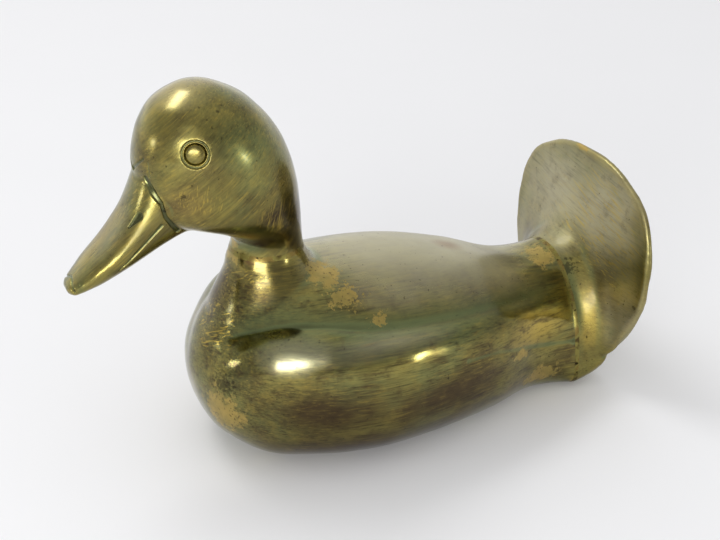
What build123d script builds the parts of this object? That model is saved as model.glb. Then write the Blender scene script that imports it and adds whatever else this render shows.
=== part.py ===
from build123d import *

import os
from math import atan2, cos, hypot, radians, sin
from typing import NamedTuple

# A hollow-cast brass duck ornament: body, head and fanned tail are cast apart and brazed together,
# a plate is let into the underside, and a turned stud is set into each side of the head for an eye.
# Sizes are in millimetres. +X runs from tail to bill, +Y to the duck's left, +Z up.
# The origin is the middle of the plate's underside, on which the duck stands.

# Body casting
BODY_FRONT = 45.4  # origin to the front of the breast
BODY_REAR = 54.5  # origin to the tail joint
BODY_WIDTH = 63.0
BACK_HEIGHT = 45.5
BODY_WALL = 3.5
FLOOR_THICKNESS = 5.0
RUMP_THICKNESS = 10.0  # solid metal ahead of the tail joint, which holds the tenon

# Base plate
PLATE_LENGTH = 56.0
PLATE_WIDTH = 29.0
PLATE_THICKNESS = 2.0
PLATE_LEDGE = 3.0
PLATE_GAP = 0.15
VENT_DIAMETER = 3.0
VENT_X = 12.0  # origin to the vent

# Neck and head
NECK_X = 24.6  # origin to the neck's axis
NECK_JOINT_HEIGHT = 51.0
NECK_DIAMETER = 17.4
HEAD_HEIGHT = 93.3  # underside to the crown
HEAD_LENGTH = 38.0  # nape to forehead
HEAD_WIDTH = 30.4
NAPE_X = 16.8  # origin to the nape
HEAD_WALL = 3.5
SPIGOT_DIAMETER = 10.0
SPIGOT_BORE = 5.6
SPIGOT_LENGTH = 7.0
SPIGOT_GAP = 0.1

# Bill
BILL_LENGTH = 28.0
BILL_WIDTH = 16.5
BILL_DEPTH = 17.0
BILL_DROOP = 38.0  # degrees below level
BILL_X = 50.5  # origin to the bill's root
BILL_HEIGHT = 66.0  # underside to the bill's root

# Tail
TAIL_HEIGHT = 60.0
TAIL_WIDTH = 61.0
TAIL_THICKNESS = 2.2
TAIL_RIM = 0.7  # radius round the edge of the fan
TAIL_CLEARANCE = 1.5  # underside to the lowest point of the fan
TAIL_SETBACK = 8.5  # tail joint to the front face of the fan
TAIL_LEAN = 3.0  # degrees, top leaning back
TENON_WIDTH = 14.0
TENON_HEIGHT = 16.0
TENON_LENGTH = 7.0
TENON_UP = 17.0  # underside to the tenon's middle
TENON_CORNER = 2.0
TENON_GAP = 0.15

# Brazed joints
BRAZE_WIDTH = 1.2
BRAZE_DEPTH = 1.5

# Eyes
EYE_DIAMETER = 4.6
EYE_EDGE = 0.4  # radius round the top of a stud
EYE_PROUD = 0.2
EYE_SEAT_DIAMETER = 6.2
EYE_SEAT_DEPTH = 0.9
EYE_SHANK_DIAMETER = 2.6
EYE_SHANK_LENGTH = 1.8
EYE_SHANK_GAP = 0.05

QUARTER = 0.5523  # handle length of a cubic curve that follows a quarter of an ellipse


class Section(NamedTuple):
    """One half of an outline across the duck, out from the middle and up from the underside."""

    top: float
    crease_out: float
    crease_up: float
    crease_angle: float  # degrees by which the flank leaves the crease above the back's own slope
    wide_out: float
    wide_up: float
    keel_up: float
    tuck: float  # how far the flank drops before it turns under
    belly: float  # how far out the underside runs flat


def across(x, lean=0.0):
    """A plane across the duck at x, its own x out to the left and its own y up, leaning back."""
    tilt = radians(lean)
    return Plane(origin=(x, 0, 0), x_dir=(0, 1, 0), z_dir=(cos(tilt), 0, sin(tilt)))


def on_plane(plane, curves):
    """Control points of curves on a plane, in the duck's own axes."""
    return [[plane.from_local_coords(Vector(*point)) for point in curve] for curve in curves]


def outline(section, plane):
    """Closed loop of curves round a section: back, upper flank and lower flank, left then right."""
    fall = section.top - section.crease_up
    rise = section.crease_up - section.wide_up
    drop = section.wide_up - section.keel_up
    slope = 2 * atan2(fall, section.crease_out)
    start = slope - radians(section.crease_angle)
    reach = 0.38 * hypot(section.crease_out, fall)
    swell = 0.55 * hypot(section.wide_out - section.crease_out, 0.4 * rise)
    crease = (section.crease_out, section.crease_up)
    wide = (section.wide_out, section.wide_up)
    back = [
        (0, section.top),
        (0.5 * section.crease_out, section.top),
        (section.crease_out - reach * cos(slope), section.crease_up + reach * sin(slope)),
        crease,
    ]
    upper = [
        crease,
        (section.crease_out + swell * cos(start), section.crease_up - swell * sin(start)),
        (section.wide_out, section.wide_up + 0.55 * rise),
        wide,
    ]
    lower = [
        wide,
        (section.wide_out, section.wide_up - section.tuck * drop),
        (section.belly * section.wide_out, section.keel_up),
        (0, section.keel_up),
    ]
    left = [back, upper, lower]
    right = [[(-out, up) for out, up in reversed(curve)] for curve in reversed(left)]
    return on_plane(plane, left + right)


def inset(section, wall, keel_up):
    """The section of the hollow inside a wall, with its own keel."""
    return section._replace(
        top=section.top - wall,
        crease_out=section.crease_out - 0.6 * wall,
        crease_up=section.crease_up - wall,
        crease_angle=0.5 * section.crease_angle,
        wide_out=section.wide_out - wall,
        keel_up=keel_up,
    )


def blend(first, second, share):
    """A section some share of the way from the first to the second."""
    return Section(*[a + share * (b - a) for a, b in zip(first, second)])


class Slice(NamedTuple):
    """An egg-shaped slice through the neck or head, from its back end to its front end."""

    back_x: float
    back_up: float
    front_x: float
    front_up: float
    half_width: float


def egg(part_slice, wall=0.0):
    """Closed loop of curves round a slice, or round the hollow inside a wall."""
    back = Vector(part_slice.back_x, 0, part_slice.back_up)
    front = Vector(part_slice.front_x, 0, part_slice.front_up)
    length = front - back
    plane = Plane(origin=(back + front) * 0.5, x_dir=length, z_dir=length.cross(Vector(0, 1, 0)))
    long = length.length / 2 - wall
    wide = part_slice.half_width - wall
    curves = []
    for ahead, side in ((long, wide), (-long, wide), (-long, -wide), (long, -wide)):
        quarter = [(ahead, 0), (ahead, QUARTER * side), (QUARTER * ahead, side), (0, side)]
        curves.append(quarter if ahead * side > 0 else quarter[::-1])
    return on_plane(plane, curves)


def slope(loops, marks, i, c, k):
    """Change of one control point for each unit of the mark, from the parabola through its neighbours."""
    first = min(max(i - 1, 0), len(loops) - 3)
    before, here, after = (loop[c][k] for loop in loops[first : first + 3])
    t_before, t_here, t_after = marks[first : first + 3]
    early = (here - before) / (t_here - t_before)
    late = (after - here) / (t_after - t_here)
    bend = (late - early) / (t_after - t_before)
    return early + bend * (2 * marks[i] - t_before - t_here)


def cap(loop):
    """The flat face inside a loop."""
    with BuildLine() as rim:
        for curve in loop:
            Bezier(*curve)
    return Face(rim.wire())


def skin(loops, marks, tip=None, tip_mark=0.0):
    """A solid that runs smoothly through loops of curves, flat at its ends or rounded off to a tip."""
    patches = []
    for c in range(len(loops[0])):
        slopes = [[slope(loops, marks, i, c, k) for k in range(4)] for i in range(len(loops))]
        for i in range(len(loops) - 1):
            third = (marks[i + 1] - marks[i]) / 3
            leave = [point + step * third for point, step in zip(loops[i][c], slopes[i])]
            arrive = [point - step * third for point, step in zip(loops[i + 1][c], slopes[i + 1])]
            patches.append(Face.make_bezier_surface([loops[i][c], leave, arrive, loops[i + 1][c]]))
        if tip:
            reach = tip_mark - marks[-1]
            leave = [point + step * (QUARTER * reach) for point, step in zip(loops[-1][c], slopes[-1])]
            arrive = [
                tip + (point + step * reach - tip) * QUARTER for point, step in zip(loops[-1][c], slopes[-1])
            ]
            patches.append(Face.make_bezier_surface([loops[-1][c], leave, arrive, [tip] * 4]))
    patches.append(cap(loops[0]))
    if not tip:
        patches.append(cap(loops[-1]))
    return Solid(Shell(patches))


class Station(NamedTuple):
    x: float
    section: Section


def station(along, top, crease_out, crease_up, crease_angle, wide_out, wide_up, keel_up):
    """A body section from shares of the length before or behind the origin, the half width and the height."""
    half = BODY_WIDTH / 2
    return Station(
        along * (BODY_FRONT if along > 0 else BODY_REAR),
        Section(
            top * BACK_HEIGHT,
            crease_out * half,
            crease_up * BACK_HEIGHT,
            crease_angle,
            wide_out * half,
            wide_up * BACK_HEIGHT,
            keel_up * BACK_HEIGHT,
            0.68,
            0.72,
        ),
    )


def neck_slice(back, back_rise, front, front_rise, half_width):
    """A slice in multiples of the neck's radius from the middle of the neck joint."""
    radius = NECK_DIAMETER / 2
    return Slice(
        NECK_X + back * radius,
        NECK_JOINT_HEIGHT + back_rise * radius,
        NECK_X + front * radius,
        NECK_JOINT_HEIGHT + front_rise * radius,
        half_width * radius,
    )


def head_slice(rise, back, front, half_width):
    """A level slice in shares of the rise from neck joint to crown, the head's length and half width."""
    up = NECK_JOINT_HEIGHT + rise * (HEAD_HEIGHT - NECK_JOINT_HEIGHT)
    return Slice(
        NAPE_X + back * HEAD_LENGTH, up, NAPE_X + front * HEAD_LENGTH, up, half_width * HEAD_WIDTH / 2
    )


class BillSlice(NamedTuple):
    """A slice across the bill in shares of its length, half width and depth."""

    along: float
    half_width: float
    top: float
    bottom: float


TAIL_JOINT = station(-1.0, 0.775, 0.29, 0.69, 0, 0.62, 0.09, -0.03)
RUMP = station(-0.80, 0.75, 0.45, 0.64, 26, 0.625, 0.27, -0.05)
BODY_STATIONS = [
    TAIL_JOINT,
    station(-0.90, 0.75, 0.37, 0.655, 10, 0.61, 0.18, -0.04),
    RUMP,
    station(-0.51, 0.87, 0.62, 0.69, 45, 0.81, 0.33, -0.06),
    station(-0.18, 0.97, 0.73, 0.74, 50, 0.95, 0.36, -0.06),
    station(0.17, 1.00, 0.73, 0.78, 50, 1.00, 0.38, -0.05),
    station(0.48, 1.00, 0.62, 0.83, 40, 0.92, 0.43, -0.03),
    station(0.74, 0.905, 0.45, 0.79, 24, 0.74, 0.47, 0.02),
    station(0.90, 0.73, 0.28, 0.655, 18, 0.50, 0.45, 0.14),
]
NECK_JOINT = neck_slice(-1.0, 0, 1.06, 0, 1.0)
NECK_SLICES = [
    neck_slice(-2.10, -1.00, 1.76, -2.20, 1.80),
    neck_slice(-1.82, -0.90, 1.67, -1.62, 1.64),
    neck_slice(-1.52, -0.72, 1.40, -1.05, 1.40),
    neck_slice(-1.22, -0.46, 1.18, -0.56, 1.18),
    neck_slice(-1.08, -0.25, 1.085, -0.26, 1.07),
    NECK_JOINT,
]
HEAD_SLICES = [
    NECK_JOINT,
    head_slice(0.10, -0.015, 0.445, 0.62),
    head_slice(0.18, -0.01, 0.60, 0.75),
    head_slice(0.28, -0.005, 0.89, 0.88),
    head_slice(0.42, 0.015, 0.96, 0.97),
    head_slice(0.56, 0.055, 1.0, 1.0),
    head_slice(0.70, 0.125, 0.985, 0.97),
    head_slice(0.82, 0.225, 0.935, 0.86),
    head_slice(0.92, 0.35, 0.845, 0.64),
    head_slice(0.98, 0.485, 0.73, 0.34),
]
BILL_SLICES = [
    BillSlice(-0.45, 1.10, 0.75, 0.50),
    BillSlice(-0.10, 1.08, 0.56, 0.55),
    BillSlice(0.20, 1.00, 0.30, 0.42),
    BillSlice(0.50, 0.91, 0.17, 0.31),
    BillSlice(0.80, 0.74, 0.115, 0.18),
    BillSlice(0.94, 0.50, 0.09, 0.10),
]
ROOT_STEPS = [(0, 0), (0.35, 0.07), (0.65, 0.20), (0.87, 0.45), (1, 0.80)]
FAN = Section(
    TAIL_HEIGHT,
    0.34 * TAIL_WIDTH,
    0.915 * TAIL_HEIGHT,
    0,
    0.5 * TAIL_WIDTH,
    0.55 * TAIL_HEIGHT,
    TAIL_CLEARANCE,
    0.5,
    0.55,
)
EYE_X = NAPE_X + 0.73 * HEAD_LENGTH
EYE_UP = NECK_JOINT_HEIGHT + 0.72 * (HEAD_HEIGHT - NECK_JOINT_HEIGHT)

# Outer forms and hollows
hull = skin(
    [outline(s.section, across(s.x)) for s in BODY_STATIONS],
    [s.x for s in BODY_STATIONS],
    Vector(BODY_FRONT, 0, 0.47 * BACK_HEIGHT),
    BODY_FRONT,
)
hollow_stations = [Station(-BODY_REAR + RUMP_THICKNESS, RUMP.section)] + BODY_STATIONS[3:-1]
hull_hollow = skin(
    [outline(inset(s.section, BODY_WALL, FLOOR_THICKNESS), across(s.x)) for s in hollow_stations],
    [s.x for s in hollow_stations],
)
neck_form = skin([egg(s) for s in NECK_SLICES], [s.front_up + s.back_up for s in NECK_SLICES])
head_form = skin(
    [egg(s) for s in HEAD_SLICES],
    [s.back_up for s in HEAD_SLICES],
    Vector(NAPE_X + 0.61 * HEAD_LENGTH, 0, HEAD_HEIGHT),
    HEAD_HEIGHT,
)
head_hollow = skin([egg(s, HEAD_WALL) for s in HEAD_SLICES[3:-1]], [s.back_up for s in HEAD_SLICES[3:-1]])

bill_root = Vector(BILL_X, 0, BILL_HEIGHT)
bill_axis = Vector(cos(radians(BILL_DROOP)), 0, -sin(radians(BILL_DROOP)))


def bill_loop(bill_slice):
    """Closed loop of curves round the bill, square to its axis."""
    origin = bill_root + bill_axis * (bill_slice.along * BILL_LENGTH)
    out = bill_slice.half_width * BILL_WIDTH / 2
    high = bill_slice.top * BILL_DEPTH
    low = -bill_slice.bottom * BILL_DEPTH
    curves = []
    for side, up in ((out, high), (-out, high), (-out, low), (out, low)):
        quarter = [(side, 0), (side, 0.62 * up), (0.62 * side, up), (0, up)]
        curves.append(quarter if side * up > 0 else quarter[::-1])
    return on_plane(Plane(origin=origin, x_dir=(0, 1, 0), z_dir=bill_axis), curves)


bill_form = skin(
    [bill_loop(s) for s in BILL_SLICES],
    [s.along * BILL_LENGTH for s in BILL_SLICES],
    bill_root + bill_axis * BILL_LENGTH,
    BILL_LENGTH,
)
root_form = skin(
    [
        outline(
            blend(TAIL_JOINT.section, FAN, share), across(-BODY_REAR - step * TAIL_SETBACK, step * TAIL_LEAN)
        )
        for step, share in ROOT_STEPS
    ],
    [step for step, share in ROOT_STEPS],
)

# Where the castings meet: a groove round each joint takes the braze, and the metal inside it is the core
neck_radius = NECK_DIAMETER / 2
neck_plane = Plane.XY.offset(NECK_JOINT_HEIGHT)
tail_plane = across(-BODY_REAR)
fan_plane = across(-BODY_REAR - TAIL_SETBACK, TAIL_LEAN)
tail_core = cap(outline(inset(TAIL_JOINT.section, BRAZE_DEPTH, -BACK_HEIGHT), tail_plane))
with BuildPart() as neck_groove:
    with BuildSketch(neck_plane.offset(-BRAZE_WIDTH / 2)):
        with Locations((NECK_X, 0)):
            Circle(2 * neck_radius)
            Circle(neck_radius - BRAZE_DEPTH, mode=Mode.SUBTRACT)
    extrude(amount=BRAZE_WIDTH)
with BuildPart() as tail_groove:
    with BuildSketch(tail_plane.offset(-BRAZE_WIDTH / 2)):
        Rectangle(2 * BODY_WIDTH, 4 * BACK_HEIGHT)
    extrude(amount=BRAZE_WIDTH)
    extrude(tail_core, amount=BRAZE_WIDTH, both=True, mode=Mode.SUBTRACT)

# Eye seats: square to the head where a line across it comes out on each side
eye_point, eye_normal = max(
    head_form.shell().find_intersection_points(Axis((EYE_X, 0, EYE_UP), (0, 1, 0))), key=lambda hit: hit[0].Y
)
left_eye_plane = Plane(origin=eye_point, z_dir=eye_normal)
right_eye_plane = Plane(
    origin=(eye_point.X, -eye_point.Y, eye_point.Z), z_dir=(eye_normal.X, -eye_normal.Y, eye_normal.Z)
)

# Body casting
with BuildPart() as body_casting:
    add(hull)
    add(neck_form)
    split(bisect_by=Plane.XY, keep=Keep.TOP)
    add(hull_hollow, mode=Mode.SUBTRACT)
    with BuildSketch(Plane.XY):
        Ellipse(PLATE_LENGTH / 2 + PLATE_GAP, PLATE_WIDTH / 2 + PLATE_GAP)
    extrude(amount=PLATE_THICKNESS, mode=Mode.SUBTRACT)
    with BuildSketch(Plane.XY):
        Ellipse(PLATE_LENGTH / 2 - PLATE_LEDGE, PLATE_WIDTH / 2 - PLATE_LEDGE)
    extrude(amount=2 * FLOOR_THICKNESS, mode=Mode.SUBTRACT)
    with BuildSketch(neck_plane):
        with Locations((NECK_X, 0)):
            Circle(SPIGOT_DIAMETER / 2 + SPIGOT_GAP)
    extrude(amount=BACK_HEIGHT - NECK_JOINT_HEIGHT - 2 * BODY_WALL, mode=Mode.SUBTRACT)
    with BuildSketch(tail_plane):
        with Locations((0, TENON_UP)):
            RectangleRounded(TENON_WIDTH + 2 * TENON_GAP, TENON_HEIGHT + 2 * TENON_GAP, TENON_CORNER)
    extrude(amount=TENON_LENGTH + TENON_GAP, mode=Mode.SUBTRACT)
    add(neck_groove.part, mode=Mode.SUBTRACT)
    add(tail_groove.part, mode=Mode.SUBTRACT)

# Base plate
with BuildPart() as base_plate:
    with BuildSketch(Plane.XY):
        Ellipse(PLATE_LENGTH / 2, PLATE_WIDTH / 2)
        with Locations((VENT_X, 0)):
            Circle(VENT_DIAMETER / 2, mode=Mode.SUBTRACT)
    extrude(amount=PLATE_THICKNESS)

# Head casting: head, bill and the tubular spigot that enters the neck
with BuildPart() as head_casting:
    add(head_form)
    add(bill_form)
    with BuildSketch(neck_plane.offset(-SPIGOT_LENGTH)):
        with Locations((NECK_X, 0)):
            Circle(SPIGOT_DIAMETER / 2)
    extrude(amount=SPIGOT_LENGTH)
    add(head_hollow, mode=Mode.SUBTRACT)
    with BuildSketch(neck_plane.offset(-SPIGOT_LENGTH)):
        with Locations((NECK_X, 0)):
            Circle(SPIGOT_BORE / 2)
    extrude(amount=SPIGOT_LENGTH + 0.35 * (HEAD_HEIGHT - NECK_JOINT_HEIGHT), mode=Mode.SUBTRACT)
    add(neck_groove.part, mode=Mode.SUBTRACT)
    with BuildSketch(left_eye_plane.offset(-EYE_SEAT_DEPTH), right_eye_plane.offset(-EYE_SEAT_DEPTH)):
        Circle(EYE_SEAT_DIAMETER / 2)
    extrude(amount=2 * EYE_SEAT_DEPTH, mode=Mode.SUBTRACT)
    with BuildSketch(left_eye_plane.offset(-EYE_SEAT_DEPTH), right_eye_plane.offset(-EYE_SEAT_DEPTH)):
        Circle(EYE_SHANK_DIAMETER / 2 + EYE_SHANK_GAP)
    extrude(amount=-EYE_SHANK_LENGTH - EYE_SHANK_GAP, mode=Mode.SUBTRACT)

# Neck braze
with BuildPart() as neck_braze:
    add(neck_form)
    add(head_form)
    add(neck_groove.part, mode=Mode.INTERSECT)

# Tail: a fan on a flared root, with a tenon that enters the rump
with BuildPart() as fan:
    extrude(cap(outline(FAN, fan_plane)), amount=TAIL_THICKNESS, dir=-fan_plane.z_dir)
    fillet(fan.edges(), TAIL_RIM)
with BuildPart() as tail_fan:
    add(root_form)
    split(bisect_by=Plane.XY, keep=Keep.TOP)
    add(fan.part)
    add(tail_groove.part, mode=Mode.SUBTRACT)
    with BuildSketch(tail_plane):
        with Locations((0, TENON_UP)):
            RectangleRounded(TENON_WIDTH, TENON_HEIGHT, TENON_CORNER)
    extrude(amount=TENON_LENGTH)

# Tail braze
with BuildPart() as tail_braze:
    add(hull)
    add(root_form)
    split(bisect_by=Plane.XY, keep=Keep.TOP)
    add(tail_groove.part, mode=Mode.INTERSECT)


def eye_stud(plane):
    """A domed stud on its shank, standing in its seat."""
    with BuildPart() as stud:
        with BuildSketch(plane.offset(-EYE_SEAT_DEPTH)):
            Circle(EYE_DIAMETER / 2)
        extrude(amount=EYE_SEAT_DEPTH + EYE_PROUD)
        fillet(stud.edges().sort_by(Axis(plane.origin, plane.z_dir))[-1], EYE_EDGE)
        with BuildSketch(plane.offset(-EYE_SEAT_DEPTH)):
            Circle(EYE_SHANK_DIAMETER / 2)
        extrude(amount=-EYE_SHANK_LENGTH)
    return stud


eye_left = eye_stud(left_eye_plane)
eye_right = eye_stud(right_eye_plane)

os.makedirs("parts", exist_ok=True)
body_casting.part.label = "body_casting"
base_plate.part.label = "base_plate"
head_casting.part.label = "head_casting"
neck_braze.part.label = "neck_braze"
tail_fan.part.label = "tail_fan"
tail_braze.part.label = "tail_braze"
eye_left.part.label = "eye_left"
eye_right.part.label = "eye_right"
export_step(body_casting.part, "parts/body_casting.step")
export_step(base_plate.part, "parts/base_plate.step")
export_step(head_casting.part, "parts/head_casting.step")
export_step(neck_braze.part, "parts/neck_braze.step")
export_step(tail_fan.part, "parts/tail_fan.step")
export_step(tail_braze.part, "parts/tail_braze.step")
export_step(eye_left.part, "parts/eye_left.step")
export_step(eye_right.part, "parts/eye_right.step")
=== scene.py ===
import math

import bmesh
import bpy
import numpy as np
from bpy.props import FloatProperty, FloatVectorProperty, IntProperty, PointerProperty
from mathutils import Matrix, Vector, noise
from mathutils.bvhtree import BVHTree


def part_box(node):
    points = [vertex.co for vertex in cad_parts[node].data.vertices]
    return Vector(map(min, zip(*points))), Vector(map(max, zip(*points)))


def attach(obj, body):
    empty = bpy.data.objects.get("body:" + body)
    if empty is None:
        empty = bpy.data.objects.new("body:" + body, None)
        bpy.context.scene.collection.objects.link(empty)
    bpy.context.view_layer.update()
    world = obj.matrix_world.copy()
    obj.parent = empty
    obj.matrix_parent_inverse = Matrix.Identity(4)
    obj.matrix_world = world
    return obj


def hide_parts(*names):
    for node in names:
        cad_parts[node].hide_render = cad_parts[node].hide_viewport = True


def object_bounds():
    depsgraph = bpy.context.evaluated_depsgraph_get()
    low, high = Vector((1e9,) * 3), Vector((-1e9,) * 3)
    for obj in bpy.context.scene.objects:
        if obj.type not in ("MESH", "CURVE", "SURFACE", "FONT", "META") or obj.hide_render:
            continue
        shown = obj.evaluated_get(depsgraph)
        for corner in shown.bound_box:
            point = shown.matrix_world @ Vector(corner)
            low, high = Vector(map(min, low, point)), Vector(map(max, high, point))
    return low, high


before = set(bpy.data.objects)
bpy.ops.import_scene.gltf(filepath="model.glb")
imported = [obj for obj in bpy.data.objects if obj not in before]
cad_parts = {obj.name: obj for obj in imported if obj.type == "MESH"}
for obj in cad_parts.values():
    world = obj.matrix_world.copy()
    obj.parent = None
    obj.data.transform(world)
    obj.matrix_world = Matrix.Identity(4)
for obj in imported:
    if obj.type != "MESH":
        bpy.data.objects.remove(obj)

bl_info = {
    "name": "Brass Duck",
    "version": (1, 0, 0),
    "blender": (4, 5, 0),
    "location": "View3D > Sidebar > Brass Duck",
    "description": "Dresses the castings of a tarnished brass duck ornament and sets its stage",
    "category": "Object",
}

MM = 0.001
CAD_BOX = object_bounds()

# Height and place of the two brazed seams, at the faces of their CAD rings.
NECK_SEAM = [corner.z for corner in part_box("neck_braze")]
TAIL_SEAM = [corner.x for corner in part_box("tail_braze")]

# Where the neck begins and ends along the duck. The tip of the bill hangs lower than the neck seam, but lies
# in front of that stretch. Faces up to a margin beside a seam are looked at when it is cut.
NECK_REACH = (10 * MM, 46 * MM)
SEAM_MARGIN = 5 * MM

# How far a stud stands out of the head, and how round the head is where the stud sits.
EYE_PROUD = 0.2 * MM
HEAD_ROUND = 16 * MM

# Half outline of a stud with its shank: radius and height over the seat, in millimetres.
STUD_OUTLINE = (
    (0, -2.2), (1.2, -2.2), (1.2, -0.85), (2.15, -0.85), (2.2, -0.78), (2.2, -0.62), (2.15, -0.5),
    (2.02, -0.26), (1.93, -0.14), (1.8, -0.05), (1.5, 0.06), (1.1, 0.14), (0.6, 0.19), (0, 0.2),
)

# Seat round a stud: distance from the rim of the ring in millimetres, and height in depths of the ring. Next
# to the stud is a groove, then a ridge and a second groove. The mesh counts as seat up to a reach.
SEAT_OUTLINE = (
    (-0.95, -2.0), (-0.72, -1.6), (-0.55, -0.5), (-0.4, -0.5), (-0.25, -1.0), (-0.08, -0.9), (0.2, 0),
)
SEAT_REACH = 4 * MM

# Distances from cuts and seats within which the mesh is divided once, and then once more.
REFINED = (2.5 * MM, 1.3 * MM)

# Ellipsoids in which forms are blended most, in millimetres: root of the neck, chin and root of the tail.
BLENDS = (
    ((28, 0, 43), (20, 17, 12)),
    ((44, 0, 61), (10, 10, 8)),
    ((-52, 0, 27), (9, 24, 20)),
)

# Cuts into the head, in millimetres on the left side; the right side mirrors them. Each has its path, its
# half width at both ends as shares of the widest cut, and its depth as a share of the deepest.
CUTS = (
    # Brow, thin line, and the broad chisel cuts round the root of the bill
    ([(54.8, 0.0, 75.3), (54.4, 2.6, 77.2), (53.6, 4.9, 79.0)], 0.5, 0.3, 0.7),
    ([(53.1, 6.3, 78.5), (53.0, 6.6, 75.2)], 0.25, 0.25, 0.3),
    ([(53.5, 5.4, 74.6), (52.8, 6.9, 72.0), (51.4, 8.3, 69.5)], 0.9, 0.5, 0.8),
    ([(51.4, 8.3, 69.5), (50.7, 8.7, 66.2), (47.9, 7.6, 62.0)], 0.4, 0.7, 0.85),
    # Mouth with a stroke beside it, and the nail at the tip of the bill
    ([(51.7, 8.6, 64.4), (56.8, 7.8, 59.3), (61.4, 6.9, 54.9)], 0.45, 0.25, 0.6),
    ([(53.6, 8.2, 63.4), (56.0, 7.9, 60.8), (58.2, 7.4, 58.4)], 0.2, 0.15, 0.25),
    ([(71.2, 0.0, 52.3), (71.4, 1.6, 51.9), (71.6, 3.1, 51.1), (71.2, 4.0, 50.2)], 0.35, 0.35, 0.5),
    # Nostril, pointed below and broad above
    ([(58.4, 5.8, 64.2), (56.2, 6.6, 66.7)], 0.35, 1.0, 1.0),
)

# Paths of the lines on body and fan, in millimetres on the left side; the right side mirrors them.
WING_VALLEY = [
    (40.4, 7.7, 31.5), (38.4, 9.5, 33.6), (33.6, 14.0, 36.0), (28.0, 17.0, 37.4), (21.8, 19.7, 37.8),
    (14.0, 22.2, 36.8), (7.7, 23.2, 35.6), (-1.0, 23.4, 34.6), (-9.8, 23.1, 33.7), (-19.0, 21.8, 32.5),
    (-27.8, 19.6, 31.4), (-36.0, 16.8, 30.0), (-43.6, 14.3, 29.3), (-49.0, 11.8, 30.0), (-53.0, 9.8, 31.2),
]
RUMP_CREASE = [
    (-16.0, 28.4, 23.4), (-26.2, 25.7, 22.0), (-34.0, 22.8, 19.2), (-43.7, 19.6, 16.3), (-53.0, 17.2, 14.4),
]
FAN_NOTCH = [(-61.0, 24.0, 8.6), (-66.0, 24.0, 8.6)]


def linear(code):
    """Turns an sRGB hex colour into the linear colour that a shader takes."""
    channels = [int(code[i:i + 2], 16) / 255 for i in (1, 3, 5)]
    return tuple(c / 12.92 if c <= 0.04045 else ((c + 0.055) / 1.055) ** 2.4 for c in channels)


def per(millimetres):
    """Texture scale at which one feature is that many millimetres wide."""
    return 1 / (millimetres * MM)


def size(name, description, millimetres):
    """A length that a user may change, given in millimetres."""
    return FloatProperty(
        name=name, description=description, default=millimetres * MM, min=0, precision=5,
        subtype="DISTANCE", unit="LENGTH",
    )


def colour(name, description, code):
    """A colour that a user may change, given as sRGB hex."""
    return FloatVectorProperty(
        name=name, description=description, default=linear(code), min=0, max=1, size=3, subtype="COLOR",
    )


def strength(name, description, level):
    """A power or a brightness that a user may change."""
    return FloatProperty(name=name, description=description, default=level, min=0)


class BrassDuckCastingSettings(bpy.types.PropertyGroup):
    """Sizes of what is carved and filed into the castings."""

    grain: size("Skin grain", "Spacing of the mesh points over body and tail", 0.5)
    waviness: size("Hand finish", "Height of the soft waves that filing by hand leaves", 0.1)
    softness: IntProperty(
        name="Softness of inner corners", description="Rounds of smoothing where forms meet",
        default=12, min=0,
    )
    cut_width: size("Cut width", "Half width of the broadest cut on the head", 0.95)
    cut_depth: size("Cut depth", "Depth of the deepest cut on the head", 0.45)
    ring_radius: size("Eye ring radius", "Outer radius of the ring-shaped seat round each eye", 3.05)
    ring_depth: size("Eye ring depth", "Depth of the ring-shaped seat round each eye", 0.34)
    valley_width: size("Wing valley width", "Half width of the valley between back and wings", 4.6)
    valley_depth: size("Wing valley depth", "Depth of the valley between back and wings", 0.5)
    crease_depth: size("Rump crease depth", "Depth of the crease below the rump", 0.2)
    collar: size("Collar", "Height of the soft bead below the neck seam", 0.2)


class BrassDuckFinishSettings(bpy.types.PropertyGroup):
    """Colours of the brass, from tarnish to bare metal."""

    olive: colour("Olive tarnish", "Brass that has darkened evenly", "#827a42")
    # Besides tarnish, this colour is the tint of painted dark reflections on the nape, the fan and the low
    # flanks.
    brown: colour("Brown tarnish", "Brass that has darkened most", "#463823")
    # Besides patina, this colour tints the painted highlight on the wing shoulder.
    green: colour("Green patina", "Greenish bloom of copper salts", "#6a764d")
    # Besides the dull bloom, this colour is the tint of the painted highlight on the wing shoulder and the
    # painted reflection along the wing crest.
    grey: colour("Satin grey", "Dull bloom on the back and the fan", "#b2ac90")
    # Besides rubbed brass, this colour is the tint of painted golden reflections on the rump, the chin and
    # the tail root.
    gold: colour("Rubbed brass", "Brass that handling keeps bright", "#bba24a")
    bare: colour("Bare brass", "Patches where the tarnish has flaked off", "#b09752")
    pink: colour("Copper blush", "Reddish zones where zinc has left the brass", "#86603f")
    # Besides grime, this colour is the tint of painted dark reflections and painted shade in some zones.
    grime_and_painted_dark: colour("Grime", "Dirt in lines, pits and corners", "#201b10")
    braze: colour("Braze", "Coppery filler of the two seams", "#7d6a3a")
    plate: colour("Rolled brass", "Plate under the body", "#b59a58")


class BrassDuckStageSettings(bpy.types.PropertyGroup):
    """Colour and light of the stage."""

    floor: colour("Floor", "Pale paper that the duck stands on", "#efeff1")
    lamp_power: strength("Lamp", "Power of the soft lamp behind, in watts", 2.7)
    window_power: strength("Windows", "Power of the widest low window, in watts", 1.4)
    dome: strength("Dome", "Brightness of the pale room round the stage", 0.82)
    camera_distance: size("Camera distance", "From the camera to the middle of the duck", 300)


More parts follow.
